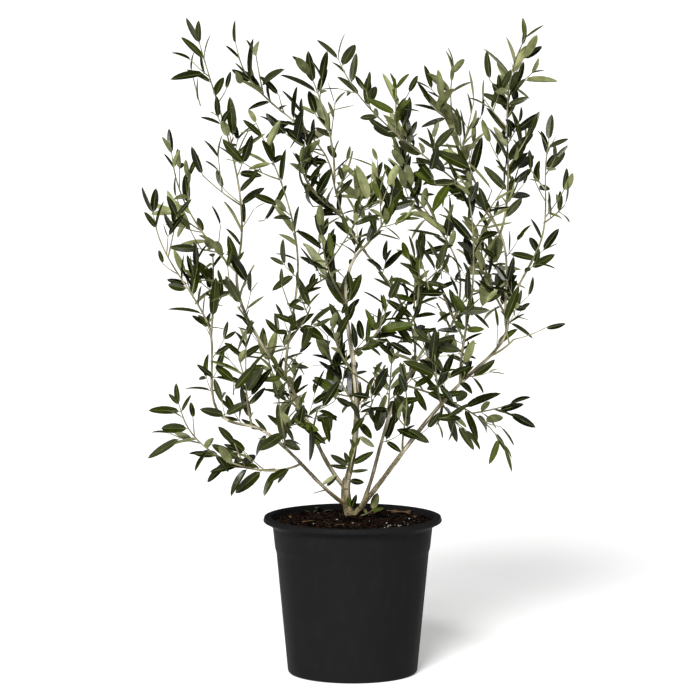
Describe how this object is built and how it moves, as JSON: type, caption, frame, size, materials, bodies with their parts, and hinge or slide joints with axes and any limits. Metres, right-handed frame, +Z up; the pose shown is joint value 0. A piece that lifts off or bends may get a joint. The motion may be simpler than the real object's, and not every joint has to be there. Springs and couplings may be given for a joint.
{
  "type": "potted olive tree",
  "caption": "Young olive tree trained flat as a fan: short leaning trunk, slender forking boughs and narrow-leaved foliage, in a round tapered nursery pot.",
  "frame": {"origin": "centre of the pot's flat underside, on the surface it stands on", "axes": "+Z up along the pot's axis, +X to the right across the flat fan, -Y towards the front of the fan"},
  "size_m": [0.7049, 0.3, 1.095],
  "materials": {
    "pot_plastic": "satin black moulded plastic",
    "potting_mix": "coarse moist bark compost with a few pale grains",
    "bark": "smooth grey-beige bark with fine cracks",
    "young_bark": "olive-brown young bark",
    "foliage": "leathery dark green leaves with pale undersides"
  },
  "bodies": {
    "root": {"pot": "pot_plastic", "potting_mix": "potting_mix", "trunk": "bark", "bough_centre_lower": "bark", "bough_centre_upper": "bark", "bough_left_low": "bark", "bough_left_mid": "bark", "bough_left_high": "young_bark", "bough_left_inner": "young_bark", "bough_left_far": "young_bark", "bough_left_rise": "young_bark", "bough_right_front": "bark", "bough_right_bend": "bark", "bough_right_upright": "young_bark", "bough_right_outer": "young_bark", "bough_right_inner": "young_bark", "bough_right_back": "bark", "bough_back_upright": "young_bark", "bough_back_inner": "young_bark", "bough_upper_left": "young_bark", "foliage_left_edge": "foliage", "foliage_left_edge_back": "foliage", "foliage_left_rising": "foliage", "foliage_left_low": "foliage", "foliage_left_crown": "foliage", "foliage_left_outer": "foliage", "foliage_left_high_front": "foliage", "foliage_left_high_back": "foliage", "foliage_left_centre": "foliage", "foliage_left_inner_front": "foliage", "foliage_left_mid_front": "foliage", "foliage_left_mid_back": "foliage", "foliage_left_low_front": "foliage", "foliage_top_left": "foliage", "foliage_top_left_back": "foliage", "foliage_top_left_front": "foliage", "foliage_upper_front": "foliage", "foliage_upper_back": "foliage", "foliage_centre": "foliage", "foliage_centre_left": "foliage", "foliage_centre_back": "foliage", "foliage_centre_low_left": "foliage", "foliage_centre_low_right": "foliage", "foliage_centre_foot": "foliage", "foliage_centre_foot_back": "foliage", "foliage_right_back": "foliage", "foliage_right_back_mid": "foliage", "foliage_right_back_low": "foliage", "foliage_right_mid": "foliage", "foliage_top_centre": "foliage", "foliage_top_right_back": "foliage", "foliage_top_right": "foliage", "foliage_right_edge": "foliage", "foliage_right_inner_back": "foliage", "foliage_right_upright": "foliage", "foliage_right_upright_front": "foliage", "foliage_right_bend": "foliage", "foliage_right_low": "foliage", "foliage_right_front_low": "foliage", "foliage_right_front_mid": "foliage"}
  },
  "joints": []
}
